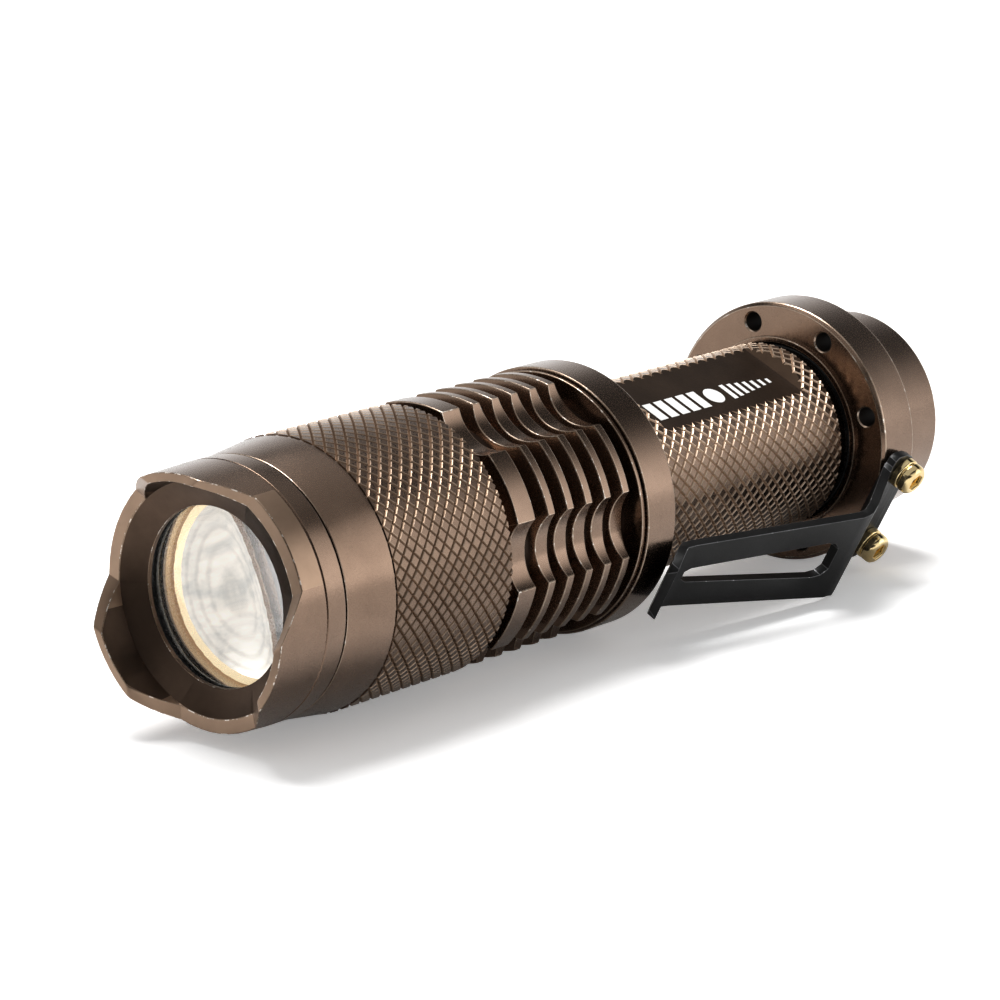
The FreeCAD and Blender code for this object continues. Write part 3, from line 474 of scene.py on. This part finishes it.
def knurl(name, inner, root, crest, front, rear, around, pitch, body, line, groove_floor):
    """Ring of flat-topped diamonds between two sets of V grooves that cross."""
    mesh = bmesh.new()
    knurl_diamonds(mesh, root, crest, front, rear, around, pitch)
    for station, way in ((front, -1), (rear, 1)):
        bmesh.ops.bisect_plane(mesh, geom=mesh.verts[:] + mesh.edges[:] + mesh.faces[:],
                               plane_co=(0, -station * MM, 0), plane_no=(0, way, 0), clear_outer=True)
    rim_edges = [edge for edge in mesh.edges if edge.is_boundary]
    inside = {}
    for edge in rim_edges:
        for vert in edge.verts:
            if vert not in inside:
                roll = math.atan2(vert.co.z, vert.co.x)
                inside[vert] = mesh.verts.new(place(inner, roll, -vert.co.y / MM))
    loops = []
    for edge in rim_edges:
        a, b = edge.verts
        face = mesh.faces.new((a, b, inside[b], inside[a]))
        loops += [e for e in face.edges if inside[a] in e.verts and inside[b] in e.verts]
    bmesh.ops.bridge_loops(mesh, edges=loops)
    # the line and groove_floor slots hold painted highlight colours
    return make(name, mesh, [knurl_top, line, groove_floor], body, sharp=12.0)


# --- Crown ring -------------------------------------------------------------------------
NOTCH_REACH = 8.6        # sideways reach of a notch's columns from its middle
CREST_TURN = (8.05, 8.35)    # sideways span where a ramp turns into the crest


def crown_columns():
    """Columns of each lobe: lines along the notch first, then an even fan over the crest."""
    along = [0.0, 1.2, 2.4, 3.6, 4.4, 4.65, 4.9, 5.4, 6.0, 6.7, 7.4, 7.9, 8.1, 8.2, 8.3, NOTCH_REACH]
    lines = [("line", -u) for u in along[:0:-1]] + [("line", u) for u in along]
    fan = [("fan", k / 18) for k in range(1, 18)]
    return [(lobe, kind, value) for lobe in range(LOBES) for kind, value in lines + fan]


def crown_roll(column, radius):
    """Roll of a column at a radius; inside the ring's wall the columns run straight inward."""
    lobe, kind, value = column
    radius = max(radius, 11.3)
    centre = NOTCH_ROLL + lobe * math.tau / LOBES
    if kind == "line":
        return centre + math.asin(value / radius)
    edge = math.asin(NOTCH_REACH / radius)
    return centre + edge + value * (math.tau / LOBES - 2 * edge)


def crown_top(column):
    """Front station of the crown at a column."""
    _, kind, value = column
    if kind == "fan":
        return CREST_FRONT
    ramp_top = NOTCH_FLOOR + max(abs(value) - NOTCH_HALF_FLOOR, 0.0) / NOTCH_SLOPE
    return softer_min(ramp_top, CREST_FRONT, 0.12)


def softer_min(a, b, blend):
    """Smaller of two values, with a rounded turn between them."""
    near = max(blend - abs(a - b), 0.0) / blend
    return min(a, b) - near * near * blend / 4


def inner_wall(station):
    """Radius of the crown's inner wall, which opens a little toward the front."""
    return DISH_R + (station - NOTCH_FLOOR) / 2.9 * 0.37


def crown_section(column):
    """Section of the crown ring: skirt, seam, line groove, crest, dish and lens seat."""
    top = crown_top(column)
    outer = BEZEL_R - (top - 96.46) / 5.54 * 0.22
    inner = inner_wall(top)
    return [
        # skirt inside the sleeve, up to the seam
        (11.33, 90.65, 0), (11.33, SEAM, 0), (BEZEL_R, SEAM, -0.08),
        # turned line round the outside
        (BEZEL_R, 96.24, -0.03), (12.19, 96.35, 0), (BEZEL_R, 96.46, -0.03),
        # crest face, and down the inner wall to the dish
        (outer, top, 0.08), (inner, top, 0.07), (DISH_R - 0.06, NOTCH_FLOOR - 0.06, 0),
        # dish, lip, and the seats of the O-ring and the lens
        (8.4, 97.9, 0.05), (8.4, 97.47, 0), (9.95, 97.47, 0), (9.95, 95.25, 0),
        (10.4, 95.25, 0), (10.4, 90.65, 0),
    ]


def crown_tone(column, radius, station, slot):
    """Painted shade inside the crown, paler crest faces, and worn turns where a ramp meets the crest."""
    top = crown_top(column)
    # painted shade inside the crown's wall
    if radius < inner_wall(top) - 0.02 and station > 96.0:
        return 2 if slot == 0 else slot
    if slot == 0 and station > top - 0.02:
        return 3
    _, kind, value = column
    on_turn = kind == "line" and CREST_TURN[0] < abs(value) < CREST_TURN[1]
    return 1 if on_turn and station > 101.0 else slot


def build_crown():
    """Bezel ring with its lobes, notches and dished inside."""
    mesh = bmesh.new()
    skin(mesh, crown_columns(), crown_section, crown_roll, tone=crown_tone)
    make("crown_ring", mesh, [anodised, anodised_chipped, anodised_painted_shade, anodised_faced],
         "head", ["bezel_ring"])


# --- Head sleeve ------------------------------------------------------------------------
def flute_radius(roll):
    """Distance from the axis to the nearest flute's wall at a roll, or a large number."""
    turn = (roll - FLUTE_ROLL + math.pi / FLUTES) % (math.tau / FLUTES) - math.pi / FLUTES
    reach = FLUTE_R ** 2 - (FLUTE_AT * math.sin(turn)) ** 2
    return FLUTE_AT * math.cos(turn) - math.sqrt(reach) if reach > 0 else 99.0


def sleeve_rolls():
    """Rolls of the sleeve's columns, close where a flute meets a lobe, each with whether it is there."""
    cosine = (BAND_R ** 2 + FLUTE_AT ** 2 - FLUTE_R ** 2) / (2 * BAND_R * FLUTE_AT)
    corner = math.degrees(math.acos(cosine))
    steps = [0.12, 0.38, 0.65, 1.0, 1.5, 2.2, 3.1]
    half = [0, 1.7, 3.4, 5.1, 6.8, 8.5, 10.0]
    half += [corner - step for step in steps[::-1]] + [corner + step for step in steps]
    half += [19.5, 22.0, 24.5, 27.2]
    around = [-x for x in half[:0:-1]] + half + [30.0]
    return [(FLUTE_ROLL + math.radians(60.0 * k + x), abs(abs(x) - corner) < 0.3)
            for k in range(FLUTES) for x in around]


def sleeve_section(column):
    """Section of the sleeve: collar, bed of the knurl, wide ring, fins, flange and bore."""
    flute = flute_radius(column[0])

    def cut_to(radius):
        return softer_min(radius, flute, 0.07)

    def fin(front, width):
        top = cut_to(BAND_R)
        lean = FIN_DRAFT * (BAND_R - top) / (BAND_R - FIN_ROOT_R)
        return [(FIN_ROOT_R, front + FIN_DRAFT, 0), (top, front + lean, 0.09),
                (top, front - width - lean, 0.09), (FIN_ROOT_R, front - width - FIN_DRAFT, 0)]

    rows = [
        # tapered collar behind the seam
        (11.4, 93.8, 0), (12.32, 93.8, 0.07), (12.94, 88.6, 0), (12.95, 88.02, 0.06),
        # bed of the knurl, and the narrow groove behind it
        (12.6, 88.0, 0), (12.6, 72.2, 0), (cut_to(11.6), 72.2, 0), (cut_to(11.6), 70.9, 0),
        # wide ring
        (cut_to(BAND_R), 70.9, 0.1), (cut_to(BAND_R), 68.4, 0.1), (FIN_ROOT_R, 67.9, 0),
    ]
    for k in range(FINS):
        rows += fin(FIN_FRONT - k * FIN_PITCH, FIN_WIDTH)
    rows += [
        # thin line and rear flange
        (FIN_ROOT_R, 53.0, 0), (13.0, 53.0, 0.1), (13.0, 52.6, 0), (12.75, 52.6, 0),
        (12.75, 52.4, 0), (13.3, 52.4, 0.12), (13.3, 48.15, 0.16),
        # rear bore with the wiper ring's groove
        (9.45, 48.15, 0.1), (9.45, 50.3, 0), (10.55, 50.3, 0), (10.55, 51.6, 0), (9.45, 51.6, 0),
        # main bore and the bezel's thread
        (9.45, 56.0, 0), (10.0, 56.0, 0), (10.0, 90.4, 0), (11.4, 90.4, 0),
    ]
    return rows


def sleeve_tone(column, radius, station, slot):
    """Painted shade in the roots between the fins, and worn corners between flutes and lobes."""
    # painted shade in the fin roots
    if slot == 0 and radius < FIN_ROOT_R + 0.1 and 53.0 < station < 68.0:
        return 2
    return 1 if column[1] and radius > 12.0 and 53.2 < station < 71.0 else slot


def build_sleeve():
    """Head's sleeve in one skin, and the knurled grip that lies in its bed."""
    mesh = bmesh.new()
    skin(mesh, sleeve_rolls(), sleeve_section, lambda column, radius: column[0], tone=sleeve_tone)
    make("head_shell", mesh, [anodised, anodised_edge, slot_painted_shade], "head", ["head_sleeve"])
    knurl("head_knurl", inner=12.3, root=12.84, crest=13.05, front=87.98, rear=72.15, around=54, pitch=1.4,
          body="head", line=head_line_worn_and_painted_highlight, groove_floor=head_groove_painted_highlight)


# --- Tube -------------------------------------------------------------------------------
def build_tube():
    """Tube with its piston, neck and thread, and the knurled grip with the flat cut into it."""
    corners = [
        # piston with the groove of the neck's O-ring
        (8.6, 89.7, 0.1), (9.92, 89.7, 0.12), (9.92, 66.6, 0.06), (8.6, 66.6, 0), (8.6, 65.2, 0),
        (9.92, 65.2, 0.06), (9.92, 64.1, 0.12),
        # smooth neck, and the bed of the knurl
        (9.38, 64.1, 0), (9.38, 47.3, 0), (8.7, 47.3, 0), (8.7, 16.2, 0),
        # shoulder, and the groove of the tail's O-ring
        (9.0, 16.2, 0), (9.0, 14.2, 0.06), (8.4, 14.2, 0), (8.4, 13.0, 0),
    ]
    for k in range(5):
        crest = 12.8 - 0.75 * k
        corners += [(9.15, crest, 0.05), (9.15, crest - 0.2, 0.05), (8.85, crest - 0.38, 0),
                    (8.85, crest - 0.5, 0)]
    corners += [(9.0, 9.2, 0.1), (7.6, 9.2, 0.1), (7.6, 74.0, 0), (8.6, 74.0, 0)]
    turned_piece("tube_shell", corners, [anodised, anodised_edge], "tube", ["battery_tube"])
    grip = knurl("tube_knurl", inner=8.75, root=9.58, crest=9.80, front=47.38, rear=16.12, around=42,
                 pitch=1.5, body="tube", line=tube_line_painted_highlight, groove_floor=tube_groove_painted_highlight)
    mesh = bmesh.new()
    rise = 1.6
    top = PANEL_OUT + rise
    outline = [(PANEL_OUT, PANEL_FRONT), (top, PANEL_FRONT + rise), (top, PANEL_REAR - rise),
               (PANEL_OUT, PANEL_REAR)]
    points = [place_on(PANEL_ROLL, out, -8.0, station) for out, station in outline]
    prism(mesh, points, place_on(PANEL_ROLL, 0, 16.0, 0))
    carve(grip, [tool("panel_cutter", mesh, [anodised_panel])], sharp=12.0)


def build_marking():
    """Generic pattern in place of lettering: wide bars, a dot, and bars that grow shorter."""
    mesh = bmesh.new()
    low = PANEL_OUT - 0.01
    lift = place_on(PANEL_ROLL, 0.035, 0, 0)
    middle = -1.1

    def block(points):
        outline = [place_on(PANEL_ROLL, low, middle + side, station) for station, side in points]
        prism(mesh, outline, lift)

    def bar(front, half, wide):
        block([(front, -half), (front - wide, -half), (front - wide, half), (front, half)])

    station = 41.2
    for k in range(5):
        bar(station, half=1.35, wide=1.25)
        station -= 1.75
    centre = station - 1.35
    dot_r = 1.2
    turns = [k * math.tau / 32 for k in range(32)]
    block([(centre + dot_r * math.cos(turn), dot_r * math.sin(turn)) for turn in turns])
    station = centre - 2.1
    for k in range(7):
        bar(station, half=1.2 - 0.14 * k, wide=0.62 - 0.03 * k)
        station -= 1.12
    bmesh.ops.remove_doubles(mesh, verts=mesh.verts, dist=1e-8)
    make("panel_marking", mesh, [print_white], "tube")


# --- Tail cap ---------------------------------------------------------------------------
def build_tail_cap():
    """Flanged cap with the clip's seat cut off its side and holes along its length."""
    corners = [
        # front lip and flange
        (9.62, 14.5, 0.06), (10.2, 14.5, 0.1), (10.2, 14.1, 0), (13.35, 14.1, 0.06),
        (13.7, 13.75, 0.1), (13.7, 8.95, 0.14), (13.5, 8.8, 0), (10.65, 8.8, 0),
        # barrel with a turned line, back to the rim
        (10.65, 6.32, 0.03), (10.53, 6.22, 0), (10.65, 6.12, 0.03), (10.65, 0.35, 0.1),
        (10.3, 0.0, 0.08),
        # opening of the button, and the switch's room
        (6.8, 0.0, 0.08), (6.3, 0.5, 0), (6.3, 1.75, 0), (8.0, 1.75, 0), (8.0, 7.4, 0),
        # thread for the tube, and the front bore
        (9.23, 7.4, 0), (9.23, 12.9, 0), (9.62, 12.9, 0),
    ]
    cap = turned_piece("cap_shell", corners, [anodised, anodised_edge], "tail_cap",
                       ["tail_cap"], steps=200)
    cutters = []
    mesh = bmesh.new()
    points = [place_on(CLIP_ROLL, out, -8.0, station) for out, station in
              [(CLIP_FLAT, 15.5), (17.0, 15.5), (17.0, 7.8), (CLIP_FLAT, 7.8)]]
    prism(mesh, points, place_on(CLIP_ROLL, 0, 16.0, 0))
    cutters.append(tool("seat_cutter", mesh, [anodised]))
    for k in range(HOLES):
        centre = place(HOLE_AT, HOLE_ROLL + k * HOLE_STEP, 0)
        mesh = bmesh.new()
        hole = [(0, 15.2, 0), (1.14, 15.2, 0), (1.14, 14.09, 0), (HOLE_R, 13.95, 0), (HOLE_R, 8.95, 0),
                (1.12, 8.81, 0), (1.12, 7.8, 0), (0, 7.8, 0)]
        skin(mesh, range(32), lambda column: hole, even_roll(32),
             put=lambda radius, roll, station: centre + place(radius, roll, station))
        for face in mesh.faces:
            middle = -face.calc_center_median().y / MM
            face.material_index = 1 if 13.96 < middle < 14.08 or 8.82 < middle < 8.94 else 0
        # painted shade on the hole walls; the rims of their chamfers wear
        cutters.append(tool("hole_cutter", mesh, [hole_painted_shade, anodised_edge]))
    carve(cap, cutters)


# --- Clip screws ------------------------------------------------------------------------
def hexagon(roll, size):
    """Distance to the side of a hexagon whose corners are size from its centre."""
    return size * math.cos(math.pi / 6) / math.cos((roll % (math.pi / 3)) - math.pi / 6)


def build_screws():
    """Two screws on the clip's seat, each a shank, a collar and a head with a hexagon socket."""
    mesh = bmesh.new()
    steps = 72

    def section(column):
        socket = hexagon(column * math.tau / steps, 0.92)
        return [
            # shank and collar
            (0, -0.6, 0), (0.85, -0.6, 0), (0.85, 0, 0), (1.7, 0, 0.06), (1.7, 0.72, 0.1),
            # neck and rounded head
            (1.52, 0.8, 0), (1.52, 0.9, 0), (1.66, 1.0, 0.08), (1.66, 1.5, 0), (1.58, 1.8, 0),
            (1.36, 2.02, 0), (1.2, 2.1, 0),
            # socket
            (socket + 0.08, 2.1, 0.04), (socket, 1.98, 0), (socket, 0.95, 0), (0, 0.85, 0),
        ]

    for side in (SCREW_SIDE, -SCREW_SIDE):
        def put(radius, roll, height):
            return place_on(CLIP_ROLL, SCREW_BASE + height, side + radius * math.cos(roll),
                            SCREW_STATION + radius * math.sin(roll))
        skin(mesh, range(steps), section, even_roll(steps), put=put)
    make("socket_screws", mesh, [screw_brass, screw_brass], "tail_cap", ["clip_screws"],
         sharp=35.0)


# --- Lens and button --------------------------------------------------------------------
def build_lens():
    """Lens with a flat rear and a round front; light passes it and the dome without a shadow."""
    centre = 85.49
    curve = 13.8
    rim = 9.9
    corners = [(0, 93.1, 0), (10.3, 93.1, 0.15), (10.3, 95.08, 0.08)]
    for k in range(24, -1, -1):
        radius = rim * math.sin(k / 24 * math.pi / 2)
        corners.append((radius, centre + math.sqrt(curve ** 2 - radius ** 2), 0))
    lens = turned_piece("dome_lens", corners, [lens_clear, lens_clear], "head", ["lens"],
                        sharp=40.0)
    lens.visible_shadow = False
    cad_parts["led_dome"].visible_shadow = False


def build_boot():
    """Rubber boot with three ring grooves; its flange stays in the cap."""
    corners = [
        (4.4, 2.85, 0), (7.85, 2.85, 0), (7.85, 1.8, 0), (6.0, 1.8, 0), (6.0, 0.98, 0.1),
        (5.4, 0.52, 0.15),
    ]
    for radius in (4.4, 3.2, 2.0):
        corners += [
            (radius + 0.22, 0.5, 0.05), (radius + 0.12, 0.68, 0), (radius - 0.12, 0.68, 0),
            (radius - 0.22, 0.5, 0.05),
        ]
    corners += [(0.6, 0.5, 0.05), (0.45, 0.66, 0), (0, 0.66, 0), (0, 1.5, 0), (4.4, 1.5, 0)]
    boot = turned_piece("rubber_boot", corners, [rubber, rubber], "tail_cap", ["switch_boot"],
                        steps=96)
    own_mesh(boot)


def build_click_spring():
    """Return spring under the plunger; it rides with the button."""
    mesh = bmesh.new()
    radius = 1.9
    wire = 0.2
    front = 6.12
    rear = 2.68
    turns = 3.5
    steps = 140
    sides = 10
    rings = []
    for k in range(steps + 1):
        share = k / steps
        ring = []
        for j in range(sides):
            turn = j / sides * math.tau
            out = radius + wire * math.cos(turn)
            station = rear + (front - rear) * share + wire * math.sin(turn)
            ring.append(mesh.verts.new(place(out, share * turns * math.tau, station)))
        rings.append(ring)
    for ring, after in zip(rings, rings[1:]):
        for j in range(sides):
            n = (j + 1) % sides
            mesh.faces.new((ring[j], ring[n], after[n], after[j]))
    mesh.faces.new(rings[0])
    mesh.faces.new(rings[-1])
    coil = make("click_spring", mesh, [spring_wire], "button", ["switch_spring"],
                sharp=50.0)
    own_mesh(coil)


# --- CAD nodes that stay ----------------------------------------------------------------
KEPT = {
    "lens_o_ring": seal_rubber, "head_wiper_ring": seal_rubber, "neck_o_ring": seal_rubber,
    # the LED pill, board, collar, package and the driver's contact get materials with painted glow
    "tail_o_ring": seal_rubber, "lens_spacer": black_plastic, "led_pill": brass_painted_glow,
    "led_board": board_white_painted_glow, "led_collar": white_plastic, "led_package": white_plastic,
    "led_phosphor": phosphor, "led_dome": gel_clear, "led_wires": wire_red,
    "driver_board": board_green, "driver_coil": copper, "driver_contact": brass_painted_glow,
    "battery_can": nickel, "battery_wrap": cell_film, "battery_button": nickel,
    "switch_retainer": bare_aluminium, "switch_board": board_green, "switch_housing": black_plastic,
    "switch_plunger": black_plastic, "tail_spring": spring_wire,
}


def dress(node, materials):
    """Give a CAD node its materials and return its object."""
    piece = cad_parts[node]
    piece.data.materials.clear()
    for material in materials:
        piece.data.materials.append(material)
    return piece


def dress_nodes():
    """Materials of the CAD nodes that stay, and the clip's small rubbed edges."""
    for node, material in KEPT.items():
        dress(node, [material])
    clip = dress("pocket_clip", [clip_paint, clip_edge])
    weld = clip.modifiers.new("Weld", "WELD")
    weld.merge_threshold = 0.000002
    edge = clip.modifiers.new("Edge", "BEVEL")
    edge.width = 0.00011
    edge.segments = 2
    edge.limit_method = "ANGLE"
    edge.angle_limit = math.radians(28)
    edge.material = 1
    normals = clip.modifiers.new("Normals", "WEIGHTED_NORMAL")
    normals.keep_sharp = False


# --- Stage ------------------------------------------------------------------------------
def build_stage():
    """White floor that glows a little, so that shadows on it stay pale."""
    mesh = bmesh.new()
    bmesh.ops.create_grid(mesh, x_segments=1, y_segments=1, size=6.0)
    material = bpy.data.materials.new("floor_white")
    material.use_nodes = True
    shader = material.node_tree.nodes["Principled BSDF"]
    shader.inputs["Base Color"].default_value = (0.93, 0.93, 0.93, 1)
    shader.inputs["Roughness"].default_value = 0.7
    shader.inputs["Specular IOR Level"].default_value = 0.15
    shader.inputs["Emission Color"].default_value = (1, 1, 1, 1)
    shader.inputs["Emission Strength"].default_value = 0.26
    floor = new_object("floor", mesh, [material])
    floor.location.z = FLOOR_Z * MM


def area_light(name, at, aim, width, height, radiance):
    """Rectangular soft box whose surface has the given radiance; the camera never sees it."""
    data = bpy.data.lights.new(name, "AREA")
    data.shape = "RECTANGLE"
    data.size = width
    data.size_y = height
    data.energy = radiance * math.pi * width * height
    light = bpy.data.objects.new(name, data)
    light.location = at
    light.rotation_mode = "QUATERNION"
    light.rotation_quaternion = (Vector(at) - Vector(aim)).to_track_quat("Z", "Y")
    light.visible_camera = False
    bpy.context.scene.collection.objects.link(light)


def build_light():
    """Bright low horizon that darkens upward, an overhead box, a soft fill and a side box."""
    world = bpy.data.worlds.new("studio")
    world.use_nodes = True
    bpy.context.scene.world = world
    tree = world.node_tree
    tree.nodes.clear()
    out = add(tree, "OutputWorld")
    sky = add(tree, "Background", {"Strength": 1.0})
    parts = add(tree, "SeparateXYZ")
    tree.links.new(add(tree, "TexCoord").outputs["Generated"], parts.inputs[0])
    band = ramp(tree, parts.outputs["Z"], [(0.0, grey(1.0)), (0.12, grey(0.95)), (0.26, grey(0.75)),
                                           (0.44, grey(0.5)), (0.55, grey(0.15)), (0.62, grey(0.02)),
                                           (1.0, grey(0.02))])
    tree.links.new(band.outputs[0], sky.inputs["Color"])
    tree.links.new(sky.outputs[0], out.inputs[0])
    area_light("overhead", at=(-0.95, 0.30, 2.90), aim=(0, -0.05, 0), width=1.7, height=1.7, radiance=9.6)
    area_light("top_fill", at=(0.0, -0.15, 0.30), aim=(0, -0.15, 0), width=0.5, height=0.7, radiance=0.45)
    area_light("side_box", at=(0.334, 0.176, 0.175), aim=(0, -0.095, 0.175), width=0.263, height=0.36,
               radiance=0.95)


def reflection_card(name, corners, material):
    """Card that only reflections see, like the dark cards that stand around a product photo."""
    mesh = bmesh.new()
    mesh.faces.new([mesh.verts.new(corner) for corner in corners])
    card = new_object(name, mesh, [material])
    card.visible_camera = False
    card.visible_diffuse = False
    card.visible_transmission = False
    card.visible_shadow = False


def build_cards():
    """Grey sheet just above the floor, and a dark sloping card in front of the head."""
    level = FLOOR_Z * MM + 0.00001
    sheet = finish_material("card_grey", grey(0.88), grey(0.82), 0.0, 0.8)
    square = [(-3, -3, level), (3, -3, level), (3, 3, level), (-3, 3, level)]
    reflection_card("floor_card", square, sheet)
    low = level + 0.0002
    slope = [(-0.02, -0.128, low), (0.5, -0.128, low), (0.5, -0.5, 0.3), (-0.02, -0.5, 0.3)]
    reflection_card("front_card", slope, black_plastic)


def build_camera():
    """Camera at the photograph's angle, far off with a long lens."""
    data = bpy.data.cameras.new("camera")
    data.lens = CAMERA_LENS
    data.sensor_width = 36.0
    data.clip_start = 0.01
    data.clip_end = 30.0
    camera = bpy.data.objects.new("camera", data)
    back = CAMERA_RIGHT.cross(CAMERA_UP)
    turn = Matrix((CAMERA_RIGHT, CAMERA_UP, back)).transposed()
    camera.matrix_world = Matrix.Translation(CAMERA_AT) @ turn.to_4x4()
    bpy.context.scene.collection.objects.link(camera)
    bpy.context.scene.camera = camera


view = bpy.context.scene.view_settings
view.view_transform = "Standard"
view.gamma = 0.82
view.exposure = 0.2
build_camera()
build_light()
build_stage()
build_cards()
build_crown()
build_sleeve()
build_tube()
build_marking()
build_tail_cap()
build_screws()
build_lens()
build_boot()
build_click_spring()
dress_nodes()
